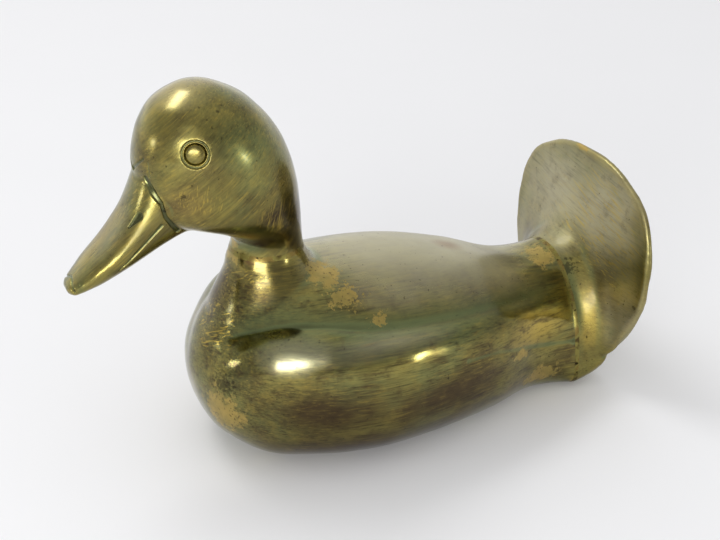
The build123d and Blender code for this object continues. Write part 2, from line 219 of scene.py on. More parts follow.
def lathe(bm, profile, centre, axis, segments=64):
    """Turns a profile of (radius, height) points round an axis; a radius of 0 closes an end."""
    turn = Vector(axis).to_track_quat("Z", "Y").to_matrix()
    rings = []
    for radius, height in profile:
        count = segments if radius > 0 else 1
        ring = []
        for i in range(count):
            angle = 2 * math.pi * i / count
            local = Vector((radius * math.cos(angle), radius * math.sin(angle), height))
            ring.append(bm.verts.new(Vector(centre) + turn @ local))
        rings.append(ring)
    for low, high in zip(rings, rings[1:]):
        for i in range(segments):
            j = (i + 1) % segments
            loop = [low[i % len(low)], low[j % len(low)], high[j % len(high)], high[i % len(high)]]
            bm.faces.new(list(dict.fromkeys(loop)))


def eye_seat(node):
    """Point of the head under the middle of a stud, and the direction in which the stud looks."""
    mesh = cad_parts[node].data
    spread = np.zeros((3, 3))
    middle = Vector()
    area = 0
    for face in mesh.polygons:
        normal = np.array(face.normal)
        spread += face.area * np.outer(normal, normal)
        middle += face.area * face.center
        area += face.area
    middle /= area
    axis = Vector(np.linalg.eigh(spread)[1][:, 2])
    if axis.y * middle.y < 0:
        axis = -axis
    top = max((vert.co - middle).dot(axis) for vert in mesh.vertices)
    return middle + (top - EYE_PROUD) * axis, axis


EYES = {name: eye_seat(name) for name in ("eye_left", "eye_right")}


def joined_castings():
    """The outer solids in one mesh, with the plate's opening and the eye seats filled."""
    joined = bmesh.new()
    for name in ("body_casting", "head_casting", "tail_fan", "neck_braze", "tail_braze"):
        start = len(joined.verts)
        joined.from_mesh(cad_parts[name].data)
        joined.verts.ensure_lookup_table()
        bmesh.ops.remove_doubles(joined, verts=joined.verts[start:], dist=1e-6)
    low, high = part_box("base_plate")
    middle, half = (low + high) / 2, (high - low) / 2

    # The plug lies just above the plate and reaches into the floor of the body all round.
    lift, inset, depth = 1.4 * MM, 0.8 * MM, 2.2 * MM
    plug = Matrix.Translation((middle.x, middle.y, high.z + lift))
    plug @= Matrix.Diagonal((half.x - inset, half.y - inset, depth, 1))
    bmesh.ops.create_cone(joined, cap_ends=True, segments=96, radius1=1, radius2=1, depth=1, matrix=plug)

    # The filling of an eye seat is as round as the head and reaches down past the seat.
    radii = [r * MM for r in (4.0, 3.0, 2.0, 1.0)]
    bottom = -3.4 * MM
    profile = [(0, bottom), (radii[0], bottom)]
    profile += [(r, -r * r / (2 * HEAD_ROUND)) for r in radii] + [(0, 0)]
    for point, axis in EYES.values():
        lathe(joined, profile, point, axis, 48)
    bmesh.ops.triangulate(joined, faces=joined.faces)
    return joined


def largest_island(bm):
    """Deletes all but the skin that reaches furthest, which leaves out the walls of the hollows."""
    left = set(bm.verts)
    islands = []
    while left:
        front = [left.pop()]
        island = list(front)
        while front:
            vert = front.pop()
            for edge in vert.link_edges:
                other = edge.other_vert(vert)
                if other in left:
                    left.remove(other)
                    front.append(other)
                    island.append(other)
        islands.append(island)
    islands.sort(key=lambda island: max(v.co.x for v in island) - min(v.co.x for v in island))
    for island in islands[:-1]:
        bmesh.ops.delete(bm, geom=island, context="VERTS")


class Skin:
    """Points of a mesh with the means to smooth them and to press lines into them."""

    def __init__(self, bm):
        bm.verts.index_update()
        self.bm = bm
        self.points = np.array([vert.co for vert in bm.verts])
        self.ends = np.array([[vert.index for vert in edge.verts] for edge in bm.edges])
        self.degree = np.bincount(self.ends.ravel(), minlength=len(self.points))
        self.even = np.full(len(self.points), 0.5)

    def mean(self, values):
        """Mean of each point's neighbours."""
        a, b = self.ends.T
        count = len(self.points)
        columns = [np.bincount(a, v[b], count) + np.bincount(b, v[a], count) for v in values.T]
        return np.stack(columns, 1) / self.degree[:, None]

    def relaxed(self, rounds, weight):
        """The points after some rounds of smoothing, each by its own weight."""
        points = self.points
        for _ in range(rounds):
            points = points + weight[:, None] * (self.mean(points) - points)
        return points

    def normals(self):
        """Normals of the mesh with the points where they are now."""
        for vert, point in zip(self.bm.verts, self.points):
            vert.co = point
        self.bm.normal_update()
        return np.array([vert.normal for vert in self.bm.verts])

    def settle(self, tree):
        """Puts each point on the nearest place of a surface."""
        self.points = np.array([tree.find_nearest(point)[0] for point in self.points])

    def press(self, height, direction=None):
        """Moves each point along its normal, or along one direction."""
        along = self.normals() if direction is None else np.array(direction)
        self.points = self.points + height[:, None] * along


def traced(tree, path, spacing=0.4 * MM):
    """A path in millimetres as closely spaced points on a surface."""
    corners = [Vector(corner) * MM for corner in path]
    dense = [corners[0]]
    for start, end in zip(corners, corners[1:]):
        count = math.ceil((end - start).length / spacing)
        dense += [start.lerp(end, (i + 1) / count) for i in range(count)]
    return np.array([tree.find_nearest(point)[0] for point in dense])


def along_path(points, path, reach):
    """Distance from each point, taken to the left side, to a path, and how far along the path that is.

    Points out of reach of the path have that reach as their distance.
    """
    points = np.stack([points[:, 0], np.abs(points[:, 1]), points[:, 2]], 1)
    distance = np.full(len(points), reach)
    position = np.zeros(len(points))
    near = np.flatnonzero(np.all((points > path.min(0) - reach) & (points < path.max(0) + reach), axis=1))
    for number, (start, run) in enumerate(zip(path, np.diff(path, axis=0))):
        share = np.clip((points[near] - start) @ run / (run @ run), 0, 1)
        gap = np.linalg.norm(points[near] - start - share[:, None] * run, axis=1)
        closer = gap < distance[near]
        distance[near[closer]] = gap[closer]
        position[near[closer]] = (number + share[closer]) / (len(path) - 1)
    return distance, position


def refine(bm, reach):
    """Divides the faces that are within reach of a cut of the head or of an eye."""
    middles = np.array([face.calc_center_median() for face in bm.faces])
    near = np.zeros(len(middles), bool)
    for path, *_ in CUTS:
        near |= along_path(middles, np.array(path) * MM, reach)[0] < reach
    for point, _ in EYES.values():
        near |= np.linalg.norm(middles - np.array(point), axis=1) < SEAT_REACH + reach
    edges = dict.fromkeys(edge for face, yes in zip(bm.faces, near) if yes for edge in face.edges)
    bmesh.ops.subdivide_edges(bm, edges=list(edges), cuts=1, use_grid_fill=True)


def inside(points, centre, radii):
    """1 in the middle of an ellipsoid given in millimetres, falling to 0 at its edge."""
    return np.clip(2 - 2 * np.linalg.norm((points / MM - centre) / radii, axis=1), 0, 1)


def rise(values, start, end):
    """0 up to the start and 1 from the end on, in a straight line between them."""
    return np.clip((values - start) / (end - start), 0, 1)


def voxel_skin(joined, grain):
    """An even mesh over the outside of the joined castings, finer near cuts and eyes."""
    source = bpy.data.meshes.new("casting_source")
    joined.to_mesh(source)
    holder = bpy.data.objects.new("casting_source", source)
    bpy.context.scene.collection.objects.link(holder)
    voxels = holder.modifiers.new("grain", "REMESH")
    voxels.mode = "VOXEL"
    voxels.voxel_size = grain
    bpy.context.view_layer.update()
    remeshed = bpy.data.meshes.new_from_object(holder.evaluated_get(bpy.context.evaluated_depsgraph_get()))
    bpy.data.objects.remove(holder)
    bm = bmesh.new()
    bm.from_mesh(remeshed)
    bpy.data.meshes.remove(source)
    bpy.data.meshes.remove(remeshed)
    largest_island(bm)
    for reach in REFINED:
        refine(bm, reach)
    return bm


def smooth_skin(skin, softness):
    """Smooths the forms but keeps the foot, and blends most where neck, chin and tail meet the rest."""
    x, y, z = skin.points.T / MM
    above_foot = rise(z, 2.5, 5.5)
    hull = above_foot * rise(x, -62, -58)
    fan = rise(x, -61, -64)
    skin.points = skin.relaxed(4, skin.even * np.maximum(hull, 0.2 * above_foot))
    skin.points = skin.relaxed(softness, skin.even * hull)
    skin.points = skin.relaxed(softness, skin.even * fan)
    for centre, radii in BLENDS:
        weight = skin.even * above_foot * inside(skin.points, centre, radii)
        skin.points = skin.relaxed(3 * softness, weight)


def file_skin(skin, sizes):
    """Leaves waves from filing by hand, nicks along the fan's rim and a collar below the neck seam.

    Returns the noise of the nicks, which also roughens the cuts.
    """
    x, y, z = skin.points.T / MM
    waves = np.array([
        noise.noise(Vector(p) * per(13)) + 0.4 * noise.noise(Vector(p) * per(5)) for p in skin.points
    ])
    skin.press(sizes.waviness * waves * rise(z, 1, 5))
    rim = rise(x, -62, -65) * rise(z, 20, 30)
    nicks = np.array([noise.noise(Vector(p) * per(7) + Vector((3, 1, 4))) for p in skin.points])
    nick_depth = 0.18 * MM
    skin.press(nick_depth * nicks * rim)
    neck_place, collar_height, collar_width = 24.6, 48.2, 1.9
    round_neck = rise(np.hypot(x - neck_place, y), 14, 11)
    bead = np.exp(-(((z - collar_height) / collar_width) ** 2)) * round_neck
    skin.press(sizes.collar * bead * np.interp(nicks, [-0.4, 0.4], [0.3, 1.7]))
    return nicks


def press_valley(skin, tree, sizes):
    """Presses the valley between back and wings, with a crisp line in its fore end, and returns its field."""
    reach, edge_width = 12 * MM, 1.1 * MM
    distance, position = along_path(skin.points, traced(tree, WING_VALLEY), reach)
    run = np.interp(position, [0, 0.1, 0.85, 1], [0, 1, 1, 0])
    valley = np.exp(-((distance / sizes.valley_width) ** 2)) * run
    weight = skin.even * valley * np.interp(position, [0.1, 0.4], [0, 1])
    skin.points = skin.relaxed(2 * sizes.softness, weight)
    run = np.interp(position, [0, 0.06, 0.2, 0.36], [0, 1, 0.7, 0])
    edge = np.exp(-((distance / edge_width) ** 2)) * run
    skin.press(-sizes.valley_depth * (valley + 0.4 * edge))
    return valley


def press_cuts(skin, tree, sizes, nicks):
    """Presses crease, notch and the cuts of the head, and returns the cuts as a field."""
    depth = np.zeros(len(skin.points))

    # Crease and notch have their path, half width and depth.
    lines = ((RUMP_CREASE, 1.3 * MM, sizes.crease_depth), (FAN_NOTCH, 1.5 * MM, 0.7 * MM))
    for path, width, deepest in lines:
        distance = along_path(skin.points, traced(tree, path), 3 * width)[0]
        depth -= deepest * np.exp(-((distance / width) ** 2))

    # A cut of the head has a flat floor, steep walls and rough sides.
    rough = np.interp(nicks, [-0.4, 0.4], [0.8, 1.2])
    cut = np.zeros(len(skin.points))
    for path, start, end, share in CUTS:
        distance, position = along_path(skin.points, traced(tree, path), 2 * sizes.cut_width)
        wall = distance / (sizes.cut_width * rough * np.interp(position, [0, 1], [start, end]))
        cut = np.maximum(cut, share * np.interp(wall, [0.55, 1.05], [1, 0]))
    skin.press(depth - sizes.cut_depth * cut)
    return cut


def press_seats(skin, sizes):
    """Presses the ring-shaped seats of the eyes."""
    steps, sinks = np.array(SEAT_OUTLINE).T
    steps = steps * MM + sizes.ring_radius
    sinks = sinks * sizes.ring_depth

    # Only skin near the plane of a seat is pressed, and not the far side of the head.
    nearest = 3 * MM
    for point, axis in EYES.values():
        from_eye = skin.points - np.array(point)
        height = from_eye @ np.array(axis)
        radius = np.linalg.norm(from_eye - height[:, None] * np.array(axis), axis=1)
        skin.press(np.where(np.abs(height) < nearest, np.interp(radius, steps, sinks), 0), axis)


def cast_skin(sizes):
    """One skin over body, head, tail and seams, smoothed where they meet and carved."""
    joined = joined_castings()
    bm = voxel_skin(joined, sizes.grain)
    skin = Skin(bm)
    skin.points = skin.relaxed(6, skin.even)
    skin.settle(BVHTree.FromBMesh(joined))
    joined.free()
    smooth_skin(skin, sizes.softness)
    nicks = file_skin(skin, sizes)

    # Lines follow paths that are traced on the skin as it is before the first of them.
    skin.normals()
    tree = BVHTree.FromBMesh(bm)
    valley = press_valley(skin, tree, sizes)
    cut = press_cuts(skin, tree, sizes, nicks)
    press_seats(skin, sizes)

    # Where dirt gathers: fields for fine hollows and for the valley, which the finish reads.
    skin.points = np.clip(skin.points, np.array(CAD_BOX[0]), np.array(CAD_BOX[1]))
    full_hollow = 0.12 * MM
    lift = np.sum((skin.relaxed(14, skin.even) - skin.points) * skin.normals(), axis=1) / full_hollow
    lift = np.where(cut > 0.2, np.maximum(lift, cut), lift)
    for name, values in (("hollow", np.clip(lift, -1, 1)), ("valley", valley)):
        layer = bm.verts.layers.float.new(name)
        for vert, value in zip(bm.verts, values):
            vert[layer] = value
    return bm


def at_neck(point):
    """Whether a place on the skin is near the neck seam or above it."""
    return NECK_REACH[0] < point.x < NECK_REACH[1] and point.z > NECK_SEAM[0] - SEAM_MARGIN


def at_tail(point):
    """Whether a place on the skin is near the tail seam or behind it."""
    return point.x < TAIL_SEAM[1] + SEAM_MARGIN


def cut_seam(bm, place, normal, region):
    """Cuts the skin by a plane, in one region alone."""
    faces = [face for face in bm.faces if region(face.calc_center_median())]
    geometry = list(dict.fromkeys(part for face in faces for part in (*face.verts, *face.edges))) + faces
    bmesh.ops.bisect_plane(bm, geom=geometry, plane_co=place, plane_no=normal, dist=1e-7)


def piece_at(point):
    """Name of the piece that a place on the skin belongs to."""
    if point.x < TAIL_SEAM[0]:
        return "tail_fan"
    if point.x < TAIL_SEAM[1]:
        return "tail_braze"
    if point.x > NECK_REACH[1]:
        return "head_casting"
    if point.x > NECK_REACH[0] and point.z > NECK_SEAM[1]:
        return "head_casting"
    if point.x > NECK_REACH[0] and point.z > NECK_SEAM[0]:
        return "neck_braze"
    return "body_casting"


def shown(name, bm, material):
    """Makes a mesh piece that stands for a CAD node, moves with the duck and has a finish."""
    mesh = bpy.data.meshes.new("brass_" + name)
    bm.to_mesh(mesh)
    bm.free()
    piece = bpy.data.objects.new("brass_" + name, mesh)
    bpy.context.scene.collection.objects.link(piece)
    mesh.materials.append(material)
    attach(piece, "root")
    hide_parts(name)
    return piece


def add(tree, kind, inputs, output=0, **settings):
    """Adds a node with its settings, joins or sets its inputs, and returns one output."""
    node = tree.nodes.new(kind)
    for key, value in settings.items():
        setattr(node, key, value)
    for key, value in inputs.items():
        socket = node.inputs[key]
        if isinstance(value, bpy.types.NodeSocket):
            tree.links.new(value, socket)
        else:
            socket.default_value = (*value, 1) if socket.type == "RGBA" else value
    return node.outputs[output] if node.outputs else node


def nearness(tree, place, spots):
    """Field that is 0 in the middle of the nearest spot and 1 at its edge.

    Spots are ellipsoids, each with its centre and its radii in millimetres.
    """
    field = None
    for centre, radii in spots:
        stretch = [per(r) for r in radii]
        shift = [-c * MM * s for c, s in zip(centre, stretch)]
        local = add(
            tree, "ShaderNodeVectorMath", {0: place, 1: stretch, 2: shift}, operation="MULTIPLY_ADD",
        )
        reach = add(tree, "ShaderNodeVectorMath", {0: local}, "Value", operation="LENGTH")
        if field is None:
            field = reach
        else:
            field = add(tree, "ShaderNodeMath", {0: field, 1: reach}, operation="MINIMUM")
    return field


def frayed(tree, place, spots, grain, fray):
    """Mask of spots with ragged edges; grain is the size of the rags in mm, fray how far they reach."""
    rags = add(tree, "ShaderNodeTexNoise", {
        "Vector": place, "Scale": per(grain), "Detail": 6, "Roughness": 0.65,
    })
    reach = nearness(tree, place, spots)
    reach = add(tree, "ShaderNodeMath", {0: rags, 1: fray, 2: reach}, operation="MULTIPLY_ADD")
    edge = 0.85 + 0.5 * fray
    return add(tree, "ShaderNodeMapRange", {0: reach, 1: edge, 2: edge - 0.3})


def drawn_out(tree, place, turn, spacing, texture):
    """Noise drawn out into lines, which have their spacing in three directions in millimetres."""
    turned = add(tree, "ShaderNodeMapping", {"Vector": place, "Rotation": turn})
    stretch = [per(s) for s in spacing]
    drawn = add(tree, "ShaderNodeVectorMath", {0: turned, 1: stretch}, operation="MULTIPLY")
    return add(tree, "ShaderNodeTexNoise", {"Vector": drawn, "Scale": 1, **texture})


def fresh_material(name):
    """A new material with an empty tree, and its object coordinates."""
    material = bpy.data.materials.new(name)
    material.use_nodes = True
    material.node_tree.nodes.clear()
    return material, material.node_tree, add(material.node_tree, "ShaderNodeTexCoord", {}, "Object")


def layered(tree, film, layers):
    """Lays tints over a film.

    Each layer has its field, the two values between which it sets in, its share and its tint.
    """
    for field, low, high, share, tint in layers:
        cover = add(tree, "ShaderNodeMapRange", {0: field, 1: low, 2: high, 4: share})
        film = add(tree, "ShaderNodeMix", {0: cover, 6: film, 7: tint}, 2, data_type="RGBA")
    return film


def zoned(tree, film, sheen, place, rags, finish, zones):
    """Lays zones over a film, each with its tint, share, softness, change of roughness and spots."""
    edge = 1.3
    for tint, share, softness, duller, spots in zones:
        reach = nearness(tree, place, spots)
        reach = add(tree, "ShaderNodeMath", {0: rags, 1: 0.6, 2: reach}, operation="MULTIPLY_ADD")
        cover = add(tree, "ShaderNodeMapRange", {0: reach, 1: edge, 2: edge - softness})
        sheen = add(tree, "ShaderNodeMath", {0: cover, 1: duller, 2: sheen}, operation="MULTIPLY_ADD")
        film = layered(tree, film, ((cover, 0, 1, share, getattr(finish, tint)),))
    return film, sheen


def aged_brass(name, finish, look):
    """Cast brass, filed and polished by hand, then left to tarnish without lacquer.

    The eye sees gloss under an uneven olive and brown film, brush lines, dull bloom where it lay untouched,
    gold where it is handled, dark dirt in every line, and pale patches where the film has come off. Some of
    its zones are painted highlights, painted reflections and painted shade.
    """
    material, tree, place = fresh_material(name)

    # Film of tarnish in clouds about 11 mm wide, with a green bloom in larger ones and stains of 4 mm.
    shifted = add(tree, "ShaderNodeVectorMath", {0: place, 1: (0.31, 0.17, 0.53)}, operation="ADD")
    clouds = add(tree, "ShaderNodeTexNoise", {
        "Vector": place, "Scale": per(11), "Detail": 5, "Roughness": 0.6,
    })
    bloom = add(tree, "ShaderNodeTexNoise", {"Vector": shifted, "Scale": per(17), "Detail": 4})
    stains = add(tree, "ShaderNodeTexNoise", {
        "Vector": shifted, "Scale": per(4), "Detail": 5, "Roughness": 0.65,
    })

    # Brush lines 0.4 mm apart, coarser than real ones so that they show, in bands of 1.4 mm, and loose
    # scratches across, which fade away from the places that have them.
    lines = drawn_out(tree, place, look["brush"], (8, 0.8, 0.4), {"Detail": 3, "Roughness": 0.65})
    bands = drawn_out(tree, place, look["brush"], (17, 3, 1.4), {"Detail": 4, "Roughness": 0.7})
    across, where = look["scratches"]
    scratches = drawn_out(tree, place, across, (10, 0.6, 0.3), {"Detail": 1})
    fading = add(tree, "ShaderNodeMapRange", {0: nearness(tree, place, where), 1: 0.6, 2: 1.1, 4: 0.3})
    scratches = add(tree, "ShaderNodeMath", {0: scratches, 1: fading}, operation="SUBTRACT")

    film = layered(tree, finish.olive, (
        (clouds, 0.42, 0.62, look["brown"], finish.brown),
        (bloom, 0.46, 0.62, look["green"], finish.green),
    ))

    # Zones of their own tint and gloss, soft at their edges, with streaks and stains over some of them. Some
    # zones are painted highlights, painted reflections and painted shade.
    low, high = look["gloss"] - 0.04, look["gloss"] + 0.06
    sheen = add(tree, "ShaderNodeMapRange", {0: clouds, 1: 0.3, 2: 0.7, 3: low, 4: high})
    film, sheen = zoned(tree, film, sheen, place, bloom, finish, look["zones"])
    film = layered(tree, film, (
        (bands, 0.52, 0.7, 0.5 * look["rubbed"], finish.gold),
        (bands, 0.48, 0.3, look["bands"], finish.brown),
        (stains, 0.54, 0.7, look["stains"], finish.brown),
        (stains, 0.44, 0.3, 0.5 * look["rubbed"], finish.gold),
        (lines, 0.54, 0.72, look["rubbed"], finish.gold),
        (lines, 0.47, 0.3, look["dark_lines"], finish.grime_and_painted_dark),
    ))
    film, sheen = zoned(tree, film, sheen, place, bloom, finish, look["dulled"])

    # Scratches, the green and brown of the valley, edges that hands keep bright, and corners that hold green
    # and black dirt.
    hollow = add(tree, "ShaderNodeAttribute", {}, "Fac", attribute_name="hollow")
    valley = add(tree, "ShaderNodeAttribute", {}, "Fac", attribute_name="valley")
    film = layered(tree, film, (
        (scratches, 0.57, 0.64, 0.5, finish.gold),
        (valley, 0.25, 1, look["valley"], finish.green),
        (valley, 0.8, 1, 0.6 * look["valley"], finish.brown),
        (hollow, -0.35, -0.9, look["edges"], finish.gold),
        (hollow, 0.15, 0.4, 0.6, finish.green),
        (hollow, 0.4, 0.9, 0.65, finish.grime_and_painted_dark),
    ))

    # Specks of dirt and corrosion about 0.4 mm across, thick in some places only, and dark speckled stains.
    dust = add(tree, "ShaderNodeTexNoise", {"Vector": place, "Scale": per(0.7), "Detail": 1})
    crowd = add(tree, "ShaderNodeMapRange", {0: stains, 1: 0.35, 2: 0.7, 3: 0.8, 4: 0.66})
    speck = add(tree, "ShaderNodeMath", {0: dust, 1: crowd}, operation="SUBTRACT")
    speck = add(tree, "ShaderNodeMapRange", {0: speck, 1: 0, 2: 0.05, 4: 0.7})
    smuts = frayed(tree, place, look["smuts"], 0.9, 4.0)
    film = layered(tree, film, ((speck, 0, 1, 1, finish.grime_and_painted_dark), (smuts, 0, 1, 0.6, finish.grime_and_painted_dark)))

    # Patches with ragged edges where the film has flaked off down to pale metal, whole or in crumbs.
    flaked = frayed(tree, place, look["flakes"], 2.2, 2.2)
    crumbs = frayed(tree, place, look["crumbs"], 1.1, 4.0)
    flaked = add(tree, "ShaderNodeMath", {0: flaked, 1: crumbs}, operation="MAXIMUM")
    pale = layered(tree, finish.bare, (
        (stains, 0.4, 0.65, 0.6, finish.olive),
        (dust, 0.64, 0.7, 0.7, finish.brown),
    ))
    film = layered(tree, film, ((flaked, 0, 1, 0.9, pale),))
    sheen = add(tree, "ShaderNodeMath", {0: flaked, 1: 0.2, 2: sheen}, operation="MULTIPLY_ADD")
    sheen = add(tree, "ShaderNodeMath", {0: lines, 1: 0.08, 2: sheen}, operation="MULTIPLY_ADD")

    relief = add(tree, "ShaderNodeMath", {0: speck, 1: -0.8, 2: lines}, operation="MULTIPLY_ADD")
    bump = add(tree, "ShaderNodeBump", {
        "Height": relief, "Strength": look["relief"], "Distance": 0.03 * MM,
    })
    brass = add(tree, "ShaderNodeBsdfPrincipled", {
        "Base Color": film, "Roughness": sheen, "Normal": bump, "Metallic": 1.0,
        "Coat Weight": 0.22, "Coat Roughness": 0.12,
    })
    add(tree, "ShaderNodeOutputMaterial", {"Surface": brass})
    return material


def both(centre, radii):
    """A spot on the left side and its mirror image on the right."""
    x, y, z = centre
    return [(centre, radii), ((x, -y, z), radii)]


# Looks of the castings. Spots have their centre and radii in millimetres. A zone has its tint, its share, the
# softness of its edge, its change of roughness and its spots; the dulled zones lie over the brush lines. Some
# zones are painted highlights, painted reflections and painted shade. A casting without crumbs or flakes has
# a spot that is far away.
FAR_AWAY = [((0, 0, -500), (1, 1, 1))]
BODY_LOOK = {
    "brown": 0.6, "green": 0.4, "bands": 0.8, "stains": 0.6, "rubbed": 0.3, "dark_lines": 0.6,
    "valley": 0.55, "edges": 0.4, "gloss": 0.1, "relief": 0.3, "brush": (0, 0.05, 0),
    "scratches": ((0.3, -0.9, 0.7), [((41, 4, 35), (9, 14, 8)), ((28, 0, 46), (12, 14, 5))]),
    "zones": [
        ("green", 0.6, 0.8, 0.03, [
            ((12, 25, 34), (24, 5, 5)), ((-14, 26, 31), (22, 5, 5)), ((0, -25, 33), (36, 5, 5)),
        ]),
        ("green", 0.3, 0.9, 0.03, [
            ((28, 23, 32), (12, 8, 5)), ((34, 15, 35), (10, 9, 6)), ((28, -23, 32), (12, 8, 5)),
        ]),
        ("gold", 0.3, 0.9, 0.0, both((2, 31, 28.5), (28, 4, 3))),
        # Painted golden reflection on the rump before the tail seam, on glossier metal.
        ("gold", 0.85, 0.7, -0.04, both((-41, 20, 22), (15, 7, 6))),
        ("brown", 0.7, 0.9, 0.14, [((38, 0, 41), (12, 14, 11)), ((27, 5, 46), (11, 13, 6))]),
        ("brown", 0.75, 0.8, 0.1, both((30.5, 11, 42.5), (7, 5, 4))),
        # Brown tarnish on the flanks; low down it is also a painted dark reflection of the shaded floor.
        ("brown", 0.9, 0.8, 0.0, [
            ((22, 28, 20), (28, 9, 8)), ((-10, 29, 17), (28, 8, 8)), ((8, 26, 5), (48, 14, 10)),
        ]),
        ("brown", 0.9, 0.8, 0.0, [((18, -29, 19), (36, 9, 8)), ((8, -26, 5), (48, 14, 10))]),
        # Painted dark reflection on the breast shoulder, and painted shade where the wing valley ends at the
        # rump.
        ("grime_and_painted_dark", 0.6, 0.9, -0.04, [((40, 17, 28), (6, 7, 7)), ((-51, 11, 30), (4, 3, 3))]),
    ],
    "dulled": [
        # Brown tarnish on the flanks; low down it is also a painted dark reflection of the shaded floor.
        ("brown", 0.55, 0.9, 0.0, [
            ((20, 28, 18), (28, 9, 7)), ((-10, 29, 16), (28, 8, 7)), ((8, 26, 5), (48, 14, 9)),
        ]),
        ("brown", 0.55, 0.9, 0.0, [((18, -29, 18), (34, 9, 7)), ((8, -26, 5), (48, 14, 9))]),
        ("brown", 0.25, 0.9, 0.14, both((31, 17.5, 36.5), (8, 6, 4))),
        ("grey", 0.78, 0.6, 0.24, [((-14, 0, 41), (40, 24, 18))]),
        # Painted highlight: a pale grey sheen round the glint on the wing shoulder, tinted green by the next
        # zone.
        ("grey", 0.7, 0.9, 0.06, both((27, 22, 33), (12, 7, 5))),
        ("green", 0.3, 0.9, 0.0, both((26, 21, 35), (13, 8, 5))),
        # Painted reflection: a pale stripe along the wing crest.
        ("grey", 0.5, 0.9, 0.0, both((4, 27, 33), (26, 5, 4))),
        ("grey", 0.45, 0.9, 0.2, [((-37, 12, 33), (16, 13, 8)), ((-40, -8, 33), (14, 14, 7))]),
        ("pink", 0.45, 0.8, 0.05, [((-24.6, -0.4, 40.5), (6, 4, 3)), ((31.4, 6.2, 50.2), (2.4, 1.6, 1.2))]),
    ],
    "flakes": [
        ((42.3, 13.8, 16.0), (7, 8, 7)), ((14.5, 9.0, 45.0), (5.5, 7, 4)),
        ((-50.6, 4.5, 33.8), (4.5, 7.5, 3.5)), ((-34.5, 22.8, 17.2), (6.5, 2.6, 1.9)),
        ((-43.0, 19.4, 7.5), (8, 4, 3.4)), ((33.2, 0.5, 50.0), (1.6, 4.4, 2.4)),
        ((40, -16, 20), (5, 6, 5)), ((-6, -21, 37), (6, 3, 2.6)), ((-44, -19, 12), (5, 3, 4)),
    ],
    "crumbs": [
        ((11.4, 16.4, 41.5), (4.5, 4.5, 3)), ((5.0, 21.8, 36.8), (2.8, 1.8, 2)), ((36, -20, 14), (8, 5, 7)),
    ],
    "smuts": [((41.6, 14.5, 24.0), (3, 5, 2.5)), ((38, -18, 30), (5, 5, 5))],
}
HEAD_LOOK = {
    "brown": 0.45, "green": 0.5, "bands": 0.35, "stains": 0.3, "rubbed": 0.4, "dark_lines": 0.3,
    "valley": 0.0, "edges": 0.12, "gloss": 0.2, "relief": 0.3, "brush": (0, -0.7, 0.2),
    "scratches": ((0, -1.4, 0), both((43, 12, 71), (9, 8, 5)) + [((26, 12, 63), (8, 8, 6))]),
    "zones": [
        ("green", 0.6, 0.7, 0.06, [((33, 14, 82), (9, 8, 8)), ((31, -14, 78), (8, 8, 9))]),
        ("grey", 0.4, 0.8, 0.08, [((21, 4, 82), (9, 12, 10))]),
        ("pink", 0.25, 0.7, 0.0, [((47, 12, 70), (7, 6, 6)), ((45, -12, 72), (6, 6, 6))]),
        ("gold", 0.3, 0.8, 0.0, [((60, -2, 62), (12, 5, 12)), ((44, 0, 92), (10, 10, 5))]),
        # Painted dark reflection of the duck's own back on the nape, and painted shade on the lower rear of
        # the cheek.
        ("brown", 0.95, 0.8, -0.05, [
            ((17, 6, 60), (11, 15, 13)), ((30, 9, 55), (6, 5, 3)), ((26, 12, 63), (9, 6, 4)),
        ]),
        # Painted dark reflection of the back on the nape, darker still.
        ("grime_and_painted_dark", 0.5, 0.8, 0.0, both((23, 11, 62), (8, 8, 9))),
        # Painted golden reflection under the chin, on glossier metal.
        ("gold", 0.75, 0.6, -0.08, [((42, 6, 59.5), (8, 7, 3)), ((33, 10, 58.5), (4, 3, 3))]),
    ],
    "dulled": [
        ("brown", 0.5, 0.8, 0.2, both((57, 9, 62.5), (10, 4, 8))),
        ("grey", 0.3, 0.9, 0.04, [((62, 3, 62), (10, 4, 8)), ((44, 3, 92), (9, 8, 4))]),
    ],
    "flakes": [((33.4, 1.0, 53.2), (1.6, 4.0, 2.0)), ((20, -7, 56), (3, 3, 3))],
    "crumbs": FAR_AWAY,
    "smuts": [
        ((47.4, 11.8, 71.6), (0.7, 0.7, 0.7)), ((41.7, 8.9, 90.3), (0.4, 0.4, 0.4)),
        ((36.9, 9.1, 90.1), (0.4, 0.4, 0.4)), ((38.1, 10.6, 89.2), (0.6, 0.6, 0.4)),
        ((41.1, 11.5, 88.1), (0.4, 0.4, 0.4)), ((40.1, 12.6, 86.5), (0.4, 0.4, 0.6)),
        ((71.0, 3.6, 50.6), (0.6, 0.6, 0.6)),
    ],
}
